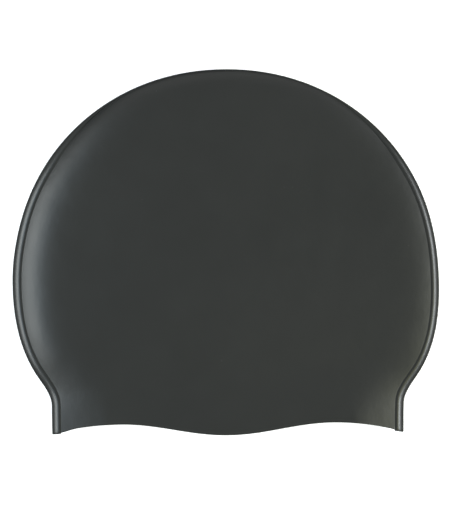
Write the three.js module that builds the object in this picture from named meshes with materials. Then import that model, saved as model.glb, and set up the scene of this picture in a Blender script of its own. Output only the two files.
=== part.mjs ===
// A moulded silicone swim cap in one piece, lying on its lower wall as it does when it isn't worn.
// +X runs across the cap, +Y from the mouth to the crown, and +Z is up. The origin is on the surface that the
// cap lies on, under the middle of its outline.
import * as THREE from "three";

// Sizes in millimetres. A level is a place along Y, counted from where the cap is widest.
const capWidth = 220; // across the widest level, over both side beads
const crownHeight = 110.5; // widest level to the top of the crown
const mouthDrop = 77.8; // widest level to the lowest point of the rim
const neckWidth = 181.6; // across the mouth, over both side beads
const flankDepth = 91.5; // depth of the oval that both flanks follow below the widest level
const neckBlend = 6.2; // how gradually the flank runs into the neck
const bodyThickness = 15; // upper face to lower face over the body
const mouthThickness = 12.4; // upper face to lower face at the mouth
const wall = 1; // silicone wall
const shoulderWidth = 32; // stretch over which a wall of the body bends down to the fold
const mouthShoulderWidth = 34; // the same stretch at the mouth
const beadDiameter = 4.4; // side bead, before the shares below
const beadLean = 0.7; // how far a bead's ridge leans in over the wall, as a share of the bead's radius
const archRise = 6.1; // top of the rim's two arches above its middle lobe
const archPlace = 54.7; // middle of the cap to the top of an arch
const tipDrop = 5.1; // top of an arch down to the rim's outer tip
const waveReach = 60; // how far up the walls follow the rim's wave

// Powers of the ovals: 2 is an ellipse, and more is squarer.
const crownLengthPower = 2.1;
const crownWidthPower = 2.06;
const flankPower = 2.35;
const shoulderPower = 3.1;
const mouthShoulderPower = 1.9;
const crownFoldPower = 2;

// Where a wall meets a bead: a turn up the bead from its innermost point, in degrees.
const creaseTurn = 74;

// The cap's fold is a sharp line beside the beads and turns round over the crown, between these two angles
// above the widest level, in degrees.
const creaseEndAngle = 38;
const roundFoldAngle = 66;

// Diameter of the bead along the fold, as a share of beadDiameter, at angles above the widest level.
const beadRows = [
  { angle: -42, share: 1.05 },
  { angle: -24, share: 0.98 },
  { angle: 0, share: 1.03 },
  { angle: 35, share: 0.99 },
  { angle: 62, share: 0.12 },
];

// How finely the surface is divided.
const flankSteps = 16;
const crownSteps = 18;
const rimSteps = 24;
const beadSteps = 10;
const rowShares = [0, 0.014, 0.036, 0.07, 0.115, 0.17, 0.24, 0.37, 0.65, 1]; // fold to the wall's middle

const frameShift = (crownHeight - mouthDrop) / 2; // widest level up to the middle of the outline
const wallMiddle = new THREE.Vector2(0, frameShift);
const lastRow = rowShares.length - 1;
const foldSteps = 2 * (flankSteps + crownSteps);

function mix(from, to, share) {
  return from + (to - from) * share;
}

// Half the cap's width at a level, over the bead.
function halfWidthAt(level) {
  if (level >= 0) {
    const rise = Math.min(level / crownHeight, 1);
    return (capWidth / 2) * (1 - rise ** crownLengthPower) ** (1 / crownWidthPower);
  }
  const flank = (capWidth / 2) * Math.sqrt(Math.max(1 - (-level / flankDepth) ** flankPower, 0));
  const neck = neckWidth / 2;
  const overlap = Math.max(neckBlend - Math.abs(flank - neck), 0);
  return Math.max(flank, neck) + overlap ** 2 / (4 * neckBlend);
}

// The outline from the right tip over the crown to the left tip.
function makeOutline() {
  const levels = [];
  for (let i = 0; i < flankSteps; i++) levels.push(-mouthDrop * (1 - i / flankSteps));
  for (let i = 0; i <= crownSteps; i++) levels.push(crownHeight * Math.sin((Math.PI / 2) * (i / crownSteps)));
  const right = levels.map((level) => new THREE.Vector2(halfWidthAt(level), level));
  const left = right.slice(0, -1).reverse();
  return [...right, ...left.map((point) => new THREE.Vector2(-point.x, point.y))];
}

// Unit vectors in the plane of the fold, pointing into the cap. The neck's ends are level.
function inwardDirections(outline) {
  return outline.map((point, i) => {
    if (i === 0) return new THREE.Vector2(-1, 0);
    if (i === outline.length - 1) return new THREE.Vector2(1, 0);
    const along = outline[i + 1].clone().sub(outline[i - 1]).normalize();
    return new THREE.Vector2(-along.y, along.x);
  });
}

function angleAt(x, level) {
  return THREE.MathUtils.radToDeg(Math.atan2(level, Math.abs(x)));
}

function beadRadiusAt(x, level) {
  const angle = angleAt(x, level);
  const after = beadRows.findIndex((row) => row.angle > angle);
  let share = after === 0 ? beadRows[0].share : beadRows.at(-1).share;
  if (after > 0) {
    const [low, high] = [beadRows[after - 1], beadRows[after]];
    share = mix(low.share, high.share, THREE.MathUtils.smoothstep(angle, low.angle, high.angle));
  }
  return (beadDiameter / 2) * share;
}

// 0 beside the beads, where the walls meet in a crease, and 1 over the crown, where the fold is round.
function foldRoundness(x, level) {
  return THREE.MathUtils.smoothstep(angleAt(x, level), creaseEndAngle, roundFoldAngle);
}

function halfThicknessAt(level) {
  return mix(mouthThickness, bodyThickness, THREE.MathUtils.smoothstep(level, -mouthDrop, 0)) / 2;
}

// The stretch over which a wall bends down to the fold, and the power of its curve, from the mouth to the body.
function shoulderAt(level) {
  const share = THREE.MathUtils.smoothstep(level, -mouthDrop, -mouthDrop / 3);
  return {
    width: mix(mouthShoulderWidth, shoulderWidth, share),
    power: mix(mouthShoulderPower, shoulderPower, share),
  };
}

// A bead's section: how far in from its centre and how high, at a turn counted from its inner side.
function beadSection(radius, turn) {
  const distance = radius * (Math.cos(turn) + beadLean * Math.abs(Math.sin(turn)));
  return { distance, height: radius * Math.sin(turn) };
}

// Where a wall's outer face starts, on the bead: how far in from the fold, and how high over its plane.
function outerStart(x, level) {
  return beadSection(beadRadiusAt(x, level), THREE.MathUtils.degToRad(creaseTurn));
}

// Where a wall's inner face starts: behind the bead, and a wall's thickness inside the crown's fold.
function innerStart(x, level) {
  return { distance: mix(outerStart(x, level).distance, wall, foldRoundness(x, level)), height: 0 };
}

// Height of a wall's face over the fold's plane, at a distance in from the fold.
function faceRise(x, level, distance, start, high) {
  const shoulder = shoulderAt(level);
  const share = THREE.MathUtils.clamp((distance - start.distance) / (shoulder.width - start.distance), 0, 1);
  const foldPower = mix(1, crownFoldPower, foldRoundness(x, level));
  return mix(start.height, high, (1 - (1 - share) ** shoulder.power) ** (1 / foldPower));
}

function outerRise(x, level, distance) {
  return faceRise(x, level, distance, outerStart(x, level), halfThicknessAt(level));
}

function innerRise(x, level, distance) {
  return faceRise(x, level, distance, innerStart(x, level), halfThicknessAt(level) - wall);
}

// Least distance from a point to the fold, whose two ends run on straight past the mouth.
function distanceToFold(point, fold) {
  const past = new THREE.Vector2(0, -mouthDrop);
  const line = [fold[0].clone().add(past), ...fold, fold.at(-1).clone().add(past)];
  let least = Infinity;
  for (let i = 1; i < line.length; i++) {
    const side = line[i].clone().sub(line[i - 1]);
    const share = point.clone().sub(line[i - 1]).dot(side) / side.lengthSq();
    const nearest = line[i - 1].clone().addScaledVector(side, THREE.MathUtils.clamp(share, 0, 1));
    least = Math.min(least, nearest.distanceTo(point));
  }
  return least;
}

// The rim's wave in plan, over the middle lobe's lowest point.
function waveRise(x) {
  const side = Math.abs(x);
  if (side < archPlace) return (archRise * (1 - Math.cos((Math.PI * side) / archPlace))) / 2;
  return archRise - tipDrop * ((side - archPlace) / (neckWidth / 2 - archPlace)) ** 2;
}

function withWave(x, level) {
  const share = Math.max(1 - (level + mouthDrop) / waveReach, 0);
  return level + waveRise(x) * share ** 2;
}

// Collects shared points and the triangles between them.
class Skin {
  positions = [];
  triangles = [];

  point(x, level, z) {
    this.positions.push(x, withWave(x, level), z);
    return this.positions.length / 3 - 1;
  }

  triangle(a, b, c) {
    this.triangles.push(a, b, c);
  }

  quad(a, b, c, d) {
    this.triangle(a, b, c);
    this.triangle(a, c, d);
  }

  geometry() {
    const geometry = new THREE.BufferGeometry();
    geometry.setAttribute("position", new THREE.Float32BufferAttribute(this.positions, 3));
    geometry.setIndex(this.triangles);
    geometry.computeVertexNormals();
    return geometry;
  }
}

// The closed edge of a wall's face in plan: along the fold, then back along the rim, closest at the tips.
function faceEdge(foldPoints) {
  const [right, left] = [foldPoints[0], foldPoints.at(-1)];
  const rim = [];
  for (let i = 1; i < rimSteps; i++) {
    const share = (1 - Math.cos((Math.PI * i) / rimSteps)) / 2;
    rim.push(new THREE.Vector2(mix(left.x, right.x, share), right.y));
  }
  return [...foldPoints, ...rim];
}

// One face of a wall: points on rays from its edge to its middle. edgeIndex gives an edge point that another
// surface has already, and side is 1 for the upper wall and -1 for the lower.
function addFace(skin, edge, fold, rise, side, facesUp, edgeIndex) {
  const rows = edge.map((start, j) =>
    rowShares.slice(0, lastRow).map((share, row) => {
      const shared = row === 0 ? edgeIndex(j) : undefined;
      if (shared !== undefined) return shared;
      const point = start.clone().lerp(wallMiddle, share);
      const height = rise(point.x, point.y, distanceToFold(point, fold));
      return skin.point(point.x, point.y, halfThicknessAt(point.y) + side * height);
    }),
  );
  const middleRise = rise(wallMiddle.x, wallMiddle.y, distanceToFold(wallMiddle, fold));
  const middle = skin.point(wallMiddle.x, wallMiddle.y, halfThicknessAt(wallMiddle.y) + side * middleRise);
  for (let j = 0; j < edge.length; j++) {
    const [here, next] = facesUp
      ? [rows[j], rows[(j + 1) % edge.length]]
      : [rows[(j + 1) % edge.length], rows[j]];
    for (let row = 0; row < lastRow - 1; row++) skin.quad(here[row], next[row], next[row + 1], here[row + 1]);
    skin.triangle(here[lastRow - 1], next[lastRow - 1], middle);
  }
  return rows.map((row) => row[0]);
}

// The side beads: at each place along the fold, the part of a bead's section outside the walls, from the upper
// crease round to the lower one.
function addBead(skin, centres, inward, radii) {
  const crease = THREE.MathUtils.degToRad(creaseTurn);
  const arcs = centres.map((centre, j) =>
    Array.from({ length: beadSteps + 1 }, (_, k) => {
      const section = beadSection(radii[j], mix(crease, 2 * Math.PI - crease, k / beadSteps));
      const point = centre.clone().addScaledVector(inward[j], section.distance);
      return skin.point(point.x, point.y, halfThicknessAt(centre.y) + section.height);
    }),
  );
  for (let j = 0; j < foldSteps; j++) {
    for (let k = 0; k < beadSteps; k++) {
      skin.quad(arcs[j][k], arcs[j][k + 1], arcs[j + 1][k + 1], arcs[j + 1][k]);
    }
  }
  return arcs;
}

// The cut edge of the walls at the mouth, and the bead's two cut ends.
function addLip(skin, outerTop, innerTop, outerBottom, innerBottom, arcs) {
  const count = outerTop.length;
  for (let j = foldSteps; j < count; j++) {
    const next = (j + 1) % count;
    skin.quad(innerTop[j], innerTop[next], outerTop[next], outerTop[j]);
    skin.quad(outerBottom[j], outerBottom[next], innerBottom[next], innerBottom[j]);
  }
  for (let k = 0; k < beadSteps; k++) {
    skin.triangle(innerTop[0], arcs[0][k + 1], arcs[0][k]);
    skin.triangle(innerTop[foldSteps], arcs[foldSteps][k], arcs[foldSteps][k + 1]);
  }
}

function capShellGeometry() {
  const skin = new Skin();
  const outline = makeOutline();
  const inward = inwardDirections(outline);
  const radii = outline.map((point) => beadRadiusAt(point.x, point.y));
  const centres = outline.map((point, j) => point.clone().addScaledVector(inward[j], radii[j]));
  const edgeAt = (start) =>
    faceEdge(
      centres.map((centre, j) =>
        centre.clone().addScaledVector(inward[j], start(outline[j].x, outline[j].y).distance),
      ),
    );
  const outerEdge = edgeAt(outerStart);
  const innerEdge = edgeAt(innerStart);

  const arcs = addBead(skin, centres, inward, radii);
  const outerTop = addFace(skin, outerEdge, centres, outerRise, 1, true, (j) => arcs[j]?.[0]);
  const outerBottom = addFace(skin, outerEdge, centres, outerRise, -1, false, (j) => arcs[j]?.[beadSteps]);
  const innerTop = addFace(skin, innerEdge, centres, innerRise, 1, false, () => undefined);
  const foldIndex = (j) => (j <= foldSteps ? innerTop[j] : undefined);
  const innerBottom = addFace(skin, innerEdge, centres, innerRise, -1, true, foldIndex);
  addLip(skin, outerTop, innerTop, outerBottom, innerBottom, arcs);
  return skin.geometry();
}

const silicone = new THREE.MeshStandardMaterial({ color: 0x393c3b, roughness: 0.48, metalness: 0 });
const capShell = new THREE.Mesh(capShellGeometry(), silicone);
capShell.name = "cap_shell";
capShell.position.y = -frameShift;

const swimCap = new THREE.Group();
swimCap.name = "swim_cap";
swimCap.add(capShell);

export default swimCap;
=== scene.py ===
import math

import bpy
import numpy as np
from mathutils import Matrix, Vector


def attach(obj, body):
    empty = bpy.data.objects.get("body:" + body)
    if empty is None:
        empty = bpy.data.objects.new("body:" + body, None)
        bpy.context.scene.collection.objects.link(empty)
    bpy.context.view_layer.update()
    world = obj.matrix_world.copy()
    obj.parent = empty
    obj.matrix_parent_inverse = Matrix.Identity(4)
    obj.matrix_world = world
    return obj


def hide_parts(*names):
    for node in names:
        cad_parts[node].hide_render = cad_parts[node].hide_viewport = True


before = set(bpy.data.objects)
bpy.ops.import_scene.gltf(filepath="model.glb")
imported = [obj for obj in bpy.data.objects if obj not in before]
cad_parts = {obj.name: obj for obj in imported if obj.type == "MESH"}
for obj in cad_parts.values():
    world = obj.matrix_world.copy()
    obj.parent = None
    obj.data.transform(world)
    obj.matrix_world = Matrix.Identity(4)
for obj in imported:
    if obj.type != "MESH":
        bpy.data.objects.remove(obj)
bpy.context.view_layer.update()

MM = 0.001  # a millimetre in metres

# Sizes of the cap in millimetres. A level is a place along Y, counted from where the cap is widest.
CAP_WIDTH = 220.0  # across the widest level, over both beads
CROWN_HEIGHT = 110.5  # widest level to the top of the crown
MOUTH_DROP = 77.8  # widest level to the lowest point of the rim
NECK_WIDTH = 181.6  # across the mouth, over both beads
FLANK_DEPTH = 91.5  # depth of the oval that both flanks follow below the widest level
NECK_BLEND = 6.2  # how gradually a flank runs into the neck
BODY_THICKNESS = 15.0  # upper face to lower face over the body
MOUTH_THICKNESS = 12.4  # upper face to lower face at the mouth
WALL = 1.0  # silicone wall
SHOULDER_WIDTH = 29.0  # stretch over which a wall of the body bends down to the fold
MOUTH_SHOULDER_WIDTH = 27.0  # the same stretch at the left of the mouth
RIGHT_MOUTH_SHOULDER_WIDTH = 23.5  # the same stretch at the right of the mouth
BEAD_DIAMETER = 4.4  # side bead, before the shares below
BEAD_LEAN = 0.78  # how far a bead's ridge leans in over the wall, as a share of the bead's radius
ARCH_RISE = 6.1  # top of the rim's two arches above its middle lobe
ARCH_PLACE = 54.7  # middle of the cap to the top of an arch
TIP_DROP = 5.1  # top of an arch down to the rim's left tip
RIGHT_TIP_DROP = 6.0  # top of an arch down to the rim's right tip
WAVE_REACH = 60.0  # how far up the walls follow the rim's wave
LIP_ROUND = 0.3  # how far the rounded lips and bead ends stand out
FRAME_SHIFT = (CROWN_HEIGHT - MOUTH_DROP) / 2  # widest level up to the middle of the outline

# Powers of the curves: for an oval 2 is an ellipse and more is squarer, and for a shoulder 1 is a straight
# slope and more is a rounder bend.
CROWN_LENGTH_POWER = 2.1
CROWN_WIDTH_POWER = 2.06
FLANK_POWER = 2.35
SHOULDER_POWER = 3.0
RIGHT_SHOULDER_POWER = 3.8
MOUTH_SHOULDER_POWER = 1.25
CROWN_FOLD_POWER = 2.0

# Where a wall meets a bead: a turn up the bead from its innermost point, in degrees.
CREASE_TURN = 70.0

# The fold is a crease beside the beads and turns round over the crown, between these angles in degrees.
CREASE_END = 38.0
ROUND_FOLD = 66.0

# The beads' diameter as a share of BEAD_DIAMETER, at angles above the widest level.
BEAD_ROWS = [
    {"angle": -42, "left": 1.06, "right": 1.04},
    {"angle": -24, "left": 1.03, "right": 0.93},
    {"angle": 0, "left": 1.09, "right": 0.97},
    {"angle": 35, "left": 1.06, "right": 0.92},
    {"angle": 62, "left": 0.12, "right": 0.12},
]

# Where each side is fuller or slimmer than the even outline, at levels, and where the rim hangs lower than
# its even wave, at a place along X. All are in millimetres.
LEFT_SWELLS = [
    {"place": 5, "reach": 26, "out": 0.3},
]
RIGHT_SWELLS = [
    {"place": -42, "reach": 32, "out": 0.7},
    {"place": 12, "reach": 42, "out": -0.4},
]
RIM_SWELLS = [
    {"place": -86, "reach": 9, "out": 0.7},
]

# The upper wall has sunk towards its right side, by this share of its height, between two places along X.
RIGHT_SINK = 0.52
SINK_START = -CAP_WIDTH / 3
SINK_END = CAP_WIDTH * 0.4

# It also sags a little between its shoulders, from one distance in from the fold to another.
SAG = 0.22
SAG_START = 8.0
SAG_END = SHOULDER_WIDTH + 10

# How squarely a bead is cut at its end: 1 is square, and 0 follows the rim's slope.
END_SQUARE = 0.4

# How finely the outline is worked out before it is divided into even steps.
CROWN_SAMPLES = 2000
FLANK_SAMPLES = 1600

# How finely the skin is divided. Rows lie closer together near the fold with a higher power.
FOLD_STEPS = 340
RIM_STEPS = 120
BEAD_STEPS = 36
LIP_STEPS = 6
OUTER_ROWS = 34
INNER_ROWS = 16
ROW_POWER = 1.8

# How many points are measured against the fold at a time, to save memory.
POINTS_AT_ONCE = 2000

# Linear colours, and scales of the unevenness in a metre.
CHARCOAL_DARK = (0.0219, 0.0223, 0.0215, 1)
CHARCOAL_LIGHT = (0.0232, 0.0236, 0.0227, 1)
DUST_COLOUR = (0.1, 0.103, 0.1, 1)
WHITE_DARK = (0.86, 0.86, 0.86, 1)
WHITE_LIGHT = (0.88, 0.88, 0.88, 1)
GRAIN_SCALE = 3800.0
MOTTLING_SCALE = 420.0
WAVE_SCALE = 95.0
SHEEN_SCALE = 60.0
CLOUD_SCALE = 9.0
SPECK_SCALE = 210.0
DUST_SCALE = 120.0
FLOOR_SCALE = 3.0

# The studio, in metres and degrees.
FLOOR_REACH = 3.0
ROOM_GLOW = (0.04, 0.04, 0.04, 1)
CAMERA_PLACE = (0.0005, -0.0022, 0.741)
CAMERA_ROLL = -0.6
LENS_LENGTH = 100
SENSOR_WIDTH = 36


def mix(start, end, share):
    return start + (end - start) * share


def smooth(value, low, high):
    share = np.clip((value - low) / (high - low), 0, 1)
    return share * share * (3 - 2 * share)


# Half the cap's width at each level, over the beads.
def half_width(level):
    rise = np.clip(level / CROWN_HEIGHT, 0, 1)
    crown = (CAP_WIDTH / 2) * (1 - rise**CROWN_LENGTH_POWER) ** (1 / CROWN_WIDTH_POWER)
    drop = np.clip(-level / FLANK_DEPTH, 0, 1)
    flank = (CAP_WIDTH / 2) * np.sqrt(1 - drop**FLANK_POWER)
    neck = NECK_WIDTH / 2
    overlap = np.maximum(NECK_BLEND - np.abs(flank - neck), 0)
    lower = np.maximum(flank, neck) + overlap**2 / (4 * NECK_BLEND)
    return np.where(level >= 0, crown, lower)


# How far an edge stands out past its even line at each place.
def swell_at(place, rows):
    swell = np.zeros_like(place)
    for row in rows:
        share = np.clip(np.abs(place - row["place"]) / row["reach"], 0, 1)
        swell += row["out"] * (1 + np.cos(math.pi * share)) / 2
    return swell


# Points at even steps along the outline, from the right tip over the crown to the left tip.
def outline_points():
    turns = np.linspace(0, math.pi / 2, CROWN_SAMPLES)
    flank = np.linspace(LIP_ROUND - MOUTH_DROP, 0, FLANK_SAMPLES, endpoint=False)
    levels = np.concatenate([flank, CROWN_HEIGHT * np.sin(turns)])
    right = np.stack([half_width(levels) + swell_at(levels, RIGHT_SWELLS), levels], axis=1)
    left = np.stack([-half_width(levels) - swell_at(levels, LEFT_SWELLS), levels], axis=1)
    line = np.concatenate([right, left[-2::-1]])
    lengths = np.concatenate([[0], np.cumsum(np.linalg.norm(np.diff(line, axis=0), axis=1))])
    places = np.linspace(0, lengths[-1], FOLD_STEPS + 1)
    return np.stack([np.interp(places, lengths, line[:, axis]) for axis in (0, 1)], axis=1)


# Unit vectors in plan that point into the cap, straight across it at the outline's two ends.
def inward_directions(outline):
    along = np.zeros_like(outline)
    along[1:-1] = outline[2:] - outline[:-2]
    along[0], along[-1] = (0, 1), (0, -1)
    along /= np.linalg.norm(along, axis=1, keepdims=True)
    return np.stack([-along[:, 1], along[:, 0]], axis=1)


# The angle of a point above the widest level, seen from the middle, in degrees.
def angle_at(point):
    return np.degrees(np.arctan2(point[..., 1], np.abs(point[..., 0])))


# 0 over the left side, 1 over the right one, and smooth between them.
def right_share(point):
    return smooth(point[..., 0], -CAP_WIDTH / 8, CAP_WIDTH / 8)


# The two beads differ a little in width.
def bead_radius(point):
    angle = angle_at(point)
    angles = [row["angle"] for row in BEAD_ROWS]
    left = np.interp(angle, angles, [row["left"] for row in BEAD_ROWS])
    right = np.interp(angle, angles, [row["right"] for row in BEAD_ROWS])
    return mix(left, right, right_share(point)) * BEAD_DIAMETER / 2


# A bead's section: how far in from its centre and how high, at a turn counted from its inner side. Its ridge
# leans in over the wall.
def bead_section(radius, turn):
    return radius * (np.cos(turn) + BEAD_LEAN * np.abs(np.sin(turn))), radius * np.sin(turn)


def half_thickness(level):
    return mix(MOUTH_THICKNESS, BODY_THICKNESS, smooth(level, -MOUTH_DROP, 0)) / 2


# 0 beside the beads, where the walls meet in a crease, and 1 over the crown.
def fold_roundness(point):
    return smooth(angle_at(point), CREASE_END, ROUND_FOLD)


# The stretch over which a wall bends down to the fold, and the power of its curve, which is slacker at the
# mouth and differs from left to right.
def shoulder_at(point):
    share = smooth(point[..., 1], -MOUTH_DROP, -MOUTH_DROP / 3)
    mouth_width = mix(MOUTH_SHOULDER_WIDTH, RIGHT_MOUTH_SHOULDER_WIDTH, right_share(point))
    power = mix(SHOULDER_POWER, RIGHT_SHOULDER_POWER, right_share(point))
    return mix(mouth_width, SHOULDER_WIDTH, share), mix(MOUTH_SHOULDER_POWER, power, share)


# How high a wall's outer face stands over the fold's plane inside its shoulders. Side is 1 for the upper
# wall, which has sunk towards the right, and -1 for the lower one.
def wall_height(point, side):
    height = half_thickness(point[..., 1])
    if side < 0:
        return height
    over_neck = smooth(point[..., 1], -MOUTH_DROP, -MOUTH_DROP / 2)
    return height * (1 - RIGHT_SINK * over_neck * smooth(point[..., 0], SINK_START, SINK_END))


# Where a wall's face starts: how far in from the fold, and how high over its plane. The outer faces start on
# the beads, and the inner ones meet each other behind them.
def face_start(point, inner):
    distance, height = bead_section(bead_radius(point), math.radians(CREASE_TURN))
    if inner:
        return mix(distance, WALL, fold_roundness(point)), 0.0
    return distance, height


# Height of a wall's face over the fold's plane, at a distance in from the fold.
def face_rise(point, distance, side, inner):
    width, power = shoulder_at(point)
    start, low = face_start(point, inner)
    high = wall_height(point, side) - (WALL if inner else 0)
    share = np.clip((distance - start) / (width - start), 0, 1)
    fold_power = mix(1, CROWN_FOLD_POWER, fold_roundness(point))
    return mix(low, high, (1 - (1 - share) ** power) ** (1 / fold_power))


# How far points lie from the fold in plan. The fold counts as running straight on past the mouth.
def distance_to_fold(points, fold):
    past = np.array([0.0, -MOUTH_DROP])
    line = np.concatenate([[fold[0] + past], fold, [fold[-1] + past]])
    start, side = line[:-1], np.diff(line, axis=0)
    flat = points.reshape(-1, 2)
    least = np.empty(len(flat))
    for first in range(0, len(flat), POINTS_AT_ONCE):
        batch = slice(first, first + POINTS_AT_ONCE)
        part = flat[batch, None, :] - start
        share = np.clip((part * side).sum(axis=2) / (side * side).sum(axis=1), 0, 1)
        least[batch] = np.linalg.norm(part - share[..., None] * side, axis=2).min(axis=1)
    return least.reshape(points.shape[:-1])


# The rim's wave in plan, over the middle lobe's lowest point.
def wave_rise(x):
    side = np.abs(x)
    arch = ARCH_RISE * (1 - np.cos(math.pi * side / ARCH_PLACE)) / 2
    drop = np.where(x > 0, RIGHT_TIP_DROP, TIP_DROP)
    tip = ARCH_RISE - drop * ((side - ARCH_PLACE) / (NECK_WIDTH / 2 - ARCH_PLACE)) ** 2
    return np.where(side < ARCH_PLACE, arch, tip) - swell_at(x, RIM_SWELLS)


# The upper wall sags unevenly and isn't a perfect plane: two slow waves run over it, one of them slanting.
# Their lengths are in millimetres and their starts in radians.
def sag(point, distance):
    x, level = point[..., 0], point[..., 1]
    waves = np.sin(x / 31 + 0.8) * np.sin(level / 27 + 0.3) + 0.6 * np.sin(x / 17 - level / 23 + 1.9)
    return -SAG * (1 + waves / 1.6) / 2 * smooth(distance, SAG_START, SAG_END)


# Collects points in millimetres and faces with a material number.
class Skin:
    def __init__(self):
        self.points = []
        self.faces = []
        self.finishes = []

    # Adds points from their places in plan, shape (..., 2), and their heights. Returns their numbers in the
    # heights' shape. The rim's wave is worked in here, less and less up the walls.
    def add_points(self, plan, z):
        drop = np.clip(1 - (plan[..., 1] + MOUTH_DROP) / WAVE_REACH, 0, None)
        y = plan[..., 1] + wave_rise(plan[..., 0]) * np.minimum(drop, 1) ** 2 - FRAME_SHIFT
        block = np.stack([plan[..., 0], y, z], axis=-1)
        first = len(self.points)
        self.points.extend(block.reshape(-1, 3).tolist())
        return first + np.arange(block[..., 0].size).reshape(block.shape[:-1])

    # Corners that repeat their neighbour are left out, as where a row ends in one point.
    def add_face(self, corners, finish):
        kept = [corner for i, corner in enumerate(corners) if corner != corners[i - 1]]
        if len(kept) > 2:
            self.faces.append(kept)
            self.finishes.append(finish)

    # Quads between neighbouring rows of a grid of point numbers.
    def add_grid(self, rows, finish, flip=False, closed=False):
        rows = [list(map(int, row)) for row in rows]
        count = len(rows[0]) if closed else len(rows[0]) - 1
        for low, high in zip(rows, rows[1:]):
            for j in range(count):
                k = (j + 1) % len(low)
                corners = [low[j], low[k], high[k], high[j]]
                self.add_face(corners[::-1] if flip else corners, finish)

    def make(self, name, materials):
        mesh = bpy.data.meshes.new(name)
        mesh.from_pydata([Vector(point) * MM for point in self.points], [], self.faces)
        for material in materials:
            mesh.materials.append(material)
        mesh.polygons.foreach_set("material_index", self.finishes)
        mesh.polygons.foreach_set("use_smooth", [True] * len(self.faces))
        mesh.validate()
        mesh.update()
        made = bpy.data.objects.new(name, mesh)
        bpy.context.scene.collection.objects.link(made)
        return made


# The closed edge of a wall's face in plan: along the fold, then back along the rim, where its points lie
# closest together at the tips.
def face_edge(fold):
    shares = (1 - np.cos(math.pi * np.arange(1, RIM_STEPS) / RIM_STEPS)) / 2
    rim = fold[-1] + (fold[0] - fold[-1]) * shares[:, None]
    return np.concatenate([fold, rim])


# Points of one face on rays from its edge to its middle, one row for each step in.
def face_plan(edge, rows):
    middle = np.array([0.0, FRAME_SHIFT])
    shares = (np.arange(rows) / rows) ** ROW_POWER
    return edge[None] + (middle - edge)[None] * shares[:, None, None]


# One face of a wall. Its edge takes over the shared points, from a bead or from the other inner face.
def add_wall_face(skin, edge, fold, rows, side, inner, finish, shared):
    plan = face_plan(edge, rows)
    middle = np.array([[[0.0, FRAME_SHIFT]]])
    up = side > 0
    made = []
    for block in (plan, middle):
        distance = distance_to_fold(block, fold)
        rise = face_rise(block, distance, side, inner)
        low = sag(block, distance) if up else 0.0
        made.append(skin.add_points(block, half_thickness(block[..., 1]) + side * rise + low))
    numbers, centre = made
    numbers = numbers.tolist()
    for j, number in enumerate(shared):
        numbers[0][j] = int(number)
    numbers.append([int(centre[0, 0])] * len(edge))
    skin.add_grid(numbers, finish, flip=up == inner, closed=True)
    return numbers[0]


# Each bead is the part of its section outside the walls, from the upper crease round to the lower one.
def add_bead(skin, centres, inward, radii, finish):
    turn = np.radians(np.linspace(CREASE_TURN, 360 - CREASE_TURN, BEAD_STEPS + 1))
    distance, height = bead_section(radii[:, None], turn)
    plan = centres[:, None, :] + inward[:, None, :] * distance[..., None]
    numbers = skin.add_points(plan, half_thickness(centres[:, 1])[:, None] + height)
    skin.add_grid(numbers.tolist(), finish)
    return numbers


# The rounded cut edge of one wall at the mouth, from its outer face to its inner one. Returns the point
# numbers at its left and right ends.
def add_lip(skin, outer, inner, finish, flip):
    rows = [outer]
    start = np.array([skin.points[number] for number in outer])
    end = np.array([skin.points[number] for number in inner])
    for step in range(1, LIP_STEPS):
        angle = math.pi * step / LIP_STEPS
        row = mix(start, end, (1 - math.cos(angle)) / 2)
        row[:, 1] -= LIP_ROUND * math.sin(angle)
        first = len(skin.points)
        skin.points.extend(row.tolist())
        rows.append(list(range(first, first + len(row))))
    rows.append(inner)
    skin.add_grid(rows, finish, flip)
    return [[row[0] for row in rows], [row[-1] for row in rows]]


# A bead's cut end: its section, rounded in a little and closed.
def add_bead_end(skin, section, upper, lower, finish, flip):
    ring = [int(number) for number in section] + lower[1:] + upper[-2:0:-1]
    corners = np.array([skin.points[number] for number in ring])
    centre = corners.mean(axis=0)
    small = mix(corners, centre, 2 * LIP_ROUND / BEAD_DIAMETER)
    small[:, 1] = mix(corners[:, 1], corners[:, 1].min(), END_SQUARE) - LIP_ROUND
    centre[1] = small[:, 1].mean()
    first = len(skin.points)
    skin.points.extend(small.tolist() + [centre.tolist()])
    inner = list(range(first, first + len(small)))
    skin.add_grid([ring, inner, [first + len(small)] * len(ring)], finish, flip, closed=True)


# The whole cap: beads, outer and inner faces, lips and bead ends.
def cap_skin(materials):
    wall_finish, bead_finish, inside_finish, cut_finish = range(4)
    skin = Skin()
    outline = outline_points()
    inward = inward_directions(outline)
    radii = bead_radius(outline)
    centres = outline + inward * radii[:, None]
    outer_edge, inner_edge = (
        face_edge(centres + inward * face_start(outline, inner)[0][:, None]) for inner in (False, True)
    )

    bead = add_bead(skin, centres, inward, radii, bead_finish)
    upper = add_wall_face(skin, outer_edge, centres, OUTER_ROWS, 1, False, wall_finish, bead[:, 0])
    lower = add_wall_face(skin, outer_edge, centres, OUTER_ROWS, -1, False, wall_finish, bead[:, -1])
    inner_upper = add_wall_face(skin, inner_edge, centres, INNER_ROWS, 1, True, inside_finish, [])
    shared = inner_upper[: FOLD_STEPS + 1]
    inner_lower = add_wall_face(skin, inner_edge, centres, INNER_ROWS, -1, True, inside_finish, shared)

    # The part of a face's edge that runs along the rim, from the left tip to the right one.
    def rim(numbers):
        return numbers[FOLD_STEPS:] + numbers[:1]

    left_up, right_up = add_lip(skin, rim(upper), rim(inner_upper), cut_finish, flip=True)
    left_low, right_low = add_lip(skin, rim(lower), rim(inner_lower), cut_finish, flip=False)
    add_bead_end(skin, bead[-1], left_up, left_low, cut_finish, flip=False)
    add_bead_end(skin, bead[0], right_up, right_low, cut_finish, flip=True)
    return skin.make("cap_skin", materials)


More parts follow.
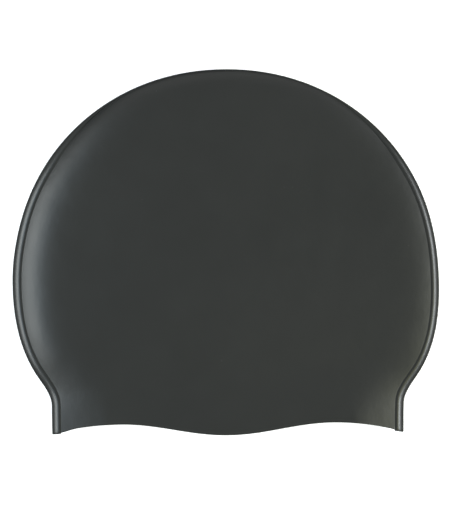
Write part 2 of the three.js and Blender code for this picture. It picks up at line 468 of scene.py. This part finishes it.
# A number that varies over a surface: an output socket of one material's nodes.
class Value:
    def __init__(self, finish, socket):
        self.finish = finish
        self.socket = socket

    def math(self, operation, first, second):
        return self.finish.node("ShaderNodeMath", {"operation": operation}, {0: first, 1: second})

    def __add__(self, other):
        return self.math("ADD", self, other)

    def __sub__(self, other):
        return self.math("SUBTRACT", self, other)

    def __rsub__(self, other):
        return self.math("SUBTRACT", other, self)

    def __mul__(self, other):
        return self.math("MULTIPLY", self, other)

    __radd__ = __add__
    __rmul__ = __mul__


# The nodes of one material.
class Finish:
    def __init__(self, name):
        self.material = bpy.data.materials.new(name)
        self.material.use_nodes = True
        self.tree = self.material.node_tree
        self.shader = self.tree.nodes["Principled BSDF"]

    def node(self, kind, settings, inputs, output=0):
        made = self.tree.nodes.new(kind)
        for name, value in settings.items():
            setattr(made, name, value)
        for name, value in inputs.items():
            self.plug(made.inputs[name], value)
        return Value(self, made.outputs[output])

    def plug(self, socket, value):
        if isinstance(value, Value):
            self.tree.links.new(value.socket, socket)
        else:
            socket.default_value = value

    def set(self, **inputs):
        for name, value in inputs.items():
            self.plug(self.shader.inputs[name.replace("_", " ")], value)

    def place(self):
        return self.node("ShaderNodeTexCoord", {}, {}, "Object")

    def noise(self, scale, detail=2.0, roughness=0.5):
        inputs = {"Vector": self.place(), "Scale": scale, "Detail": detail, "Roughness": roughness}
        return self.node("ShaderNodeTexNoise", {}, inputs, "Fac")

    # 0 where the value is below low, 1 above high, and smooth between.
    def step(self, value, low, high):
        settings = {"interpolation_type": "SMOOTHSTEP"}
        inputs = {"Value": value, "From Min": low, "From Max": high}
        return self.node("ShaderNodeMapRange", settings, inputs)

    # Distance to the nearest of many scattered points, counted in their spacing.
    def scatter(self, scale):
        inputs = {"Vector": self.place(), "Scale": scale, "Randomness": 1.0}
        return self.node("ShaderNodeTexVoronoi", {}, inputs, "Distance")

    def blend(self, share, start, end):
        return self.node("ShaderNodeMix", {"data_type": "RGBA"}, {0: share, 6: start, 7: end}, 2)

    # A height in metres.
    def bump(self, height):
        return self.node("ShaderNodeBump", {}, {"Strength": 1.0, "Distance": 1.0, "Height": height})


# Satin charcoal silicone with a fine moulded grain, faint clouds and a little dust. Grain and wave are the
# heights in metres of its finest and its broadest unevenness, with a mottling between them.
def satin_silicone(name, roughness, grain, wave, dust):
    finish = Finish(name)
    mottling = finish.noise(MOTTLING_SCALE) * (wave / 6)
    height = finish.noise(GRAIN_SCALE) * grain + mottling + finish.noise(WAVE_SCALE, 3.0) * wave
    sheen = (finish.noise(SHEEN_SCALE, 4.0, 0.6) - 0.5) * 0.1
    dusty = finish.step(finish.noise(DUST_SCALE), 0.6, 0.68)
    speck = (1 - finish.step(finish.scatter(SPECK_SCALE), 0.03, 0.06)) * dusty * dust
    clouds = finish.step(finish.noise(CLOUD_SCALE), 0.3, 0.7)
    body = finish.blend(clouds, CHARCOAL_DARK, CHARCOAL_LIGHT)
    finish.set(
        Base_Color=finish.blend(speck, body, DUST_COLOUR),
        Roughness=roughness + sheen + speck * 0.2,
        IOR=1.41,
        Normal=finish.bump(height),
    )
    return finish.material


# Matt white that glows a little, so that the cap's shadow on it stays faint.
def floor_material():
    finish = Finish("white_sweep")
    tone = finish.step(finish.noise(FLOOR_SCALE), 0.2, 0.8)
    finish.set(
        Base_Color=finish.blend(tone, WHITE_DARK, WHITE_LIGHT),
        Roughness=0.9,
        IOR=1.2,
        Emission_Color=(1, 1, 1, 1),
        Emission_Strength=0.5,
    )
    return finish.material


# The floor isn't seen in the cap's reflections.
def make_floor():
    mesh = bpy.data.meshes.new("floor")
    signs = [(-1, -1), (1, -1), (1, 1), (-1, 1)]
    mesh.from_pydata([(x * FLOOR_REACH, y * FLOOR_REACH, 0) for x, y in signs], [], [(0, 1, 2, 3)])
    mesh.materials.append(floor_material())
    floor = bpy.data.objects.new("floor", mesh)
    floor.visible_glossy = False
    bpy.context.scene.collection.objects.link(floor)


# A soft box aimed at the cap from an azimuth, counted from +X towards +Y, and a lean off the vertical, both
# in degrees. Distance and size are in metres, and power is in watts.
def add_softbox(name, azimuth, lean, distance, size, power, colour):
    light = bpy.data.lights.new(name, "AREA")
    light.shape = "RECTANGLE"
    light.size, light.size_y = size
    light.energy = power
    light.color = colour
    box = bpy.data.objects.new(name, light)
    turn, tilt = math.radians(azimuth), math.radians(lean)
    toward = Vector((math.sin(tilt) * math.cos(turn), math.sin(tilt) * math.sin(turn), math.cos(tilt)))
    box.location = toward * distance
    box.rotation_euler = toward.to_track_quat("Z", "Y").to_euler()
    bpy.context.scene.collection.objects.link(box)


# Both sides are lit low, so that the beads and the shoulders shine and the flat middle stays dark. The bounce
# on the right is yellowish and the sky on the left bluish, as the photo's soft glows are.
def add_lights():
    add_softbox(
        "left_box", azimuth=181, lean=57.7, distance=0.85, size=(0.8, 0.36), power=8.5, colour=(0.94, 1, 1)
    )
    add_softbox(
        "left_sky", azimuth=180, lean=40, distance=1.2, size=(0.9, 0.25), power=1.2, colour=(0.5, 0.92, 1.35)
    )
    for name, length, power in (("right_box", 1.0, 22), ("right_sweep", 1.87, 14)):
        add_softbox(
            name, azimuth=-3, lean=57, distance=1.6, size=(length, 0.32), power=power, colour=(0.95, 1, 1.02)
        )
    add_softbox(
        "right_bounce", azimuth=-26, lean=44, distance=1.2, size=(0.8, 0.3), power=2, colour=(1, 1, 0.35)
    )
    add_softbox(
        "back_fill", azimuth=90, lean=66, distance=1.1, size=(1.4, 0.9), power=2.4, colour=(1, 1, 1)
    )
    world = bpy.data.worlds.new("studio")
    world.use_nodes = True
    world.node_tree.nodes["Background"].inputs["Color"].default_value = ROOM_GLOW
    bpy.context.scene.world = world
    bpy.context.scene.view_settings.view_transform = "Standard"


# Straight above the cap, with the photo's slight roll.
def add_camera():
    camera = bpy.data.objects.new("camera", bpy.data.cameras.new("camera"))
    camera.data.lens = LENS_LENGTH
    camera.data.sensor_width = SENSOR_WIDTH
    camera.location = CAMERA_PLACE
    camera.rotation_euler = (0, 0, math.radians(CAMERA_ROLL))
    bpy.context.scene.collection.objects.link(camera)
    bpy.context.scene.camera = camera


skin = cap_skin(
    [
        satin_silicone("wall_silicone", roughness=0.4, grain=0.000004, wave=0.00018, dust=0.6),
        satin_silicone("bead_silicone", roughness=0.3, grain=0.000002, wave=0.00002, dust=0.2),
        satin_silicone("inside_silicone", roughness=0.6, grain=0.000006, wave=0.0001, dust=0.3),
        satin_silicone("cut_silicone", roughness=0.5, grain=0.000006, wave=0.0, dust=0.0),
    ]
)
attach(skin, "root")
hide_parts("cap_shell")
make_floor()
add_lights()
add_camera()
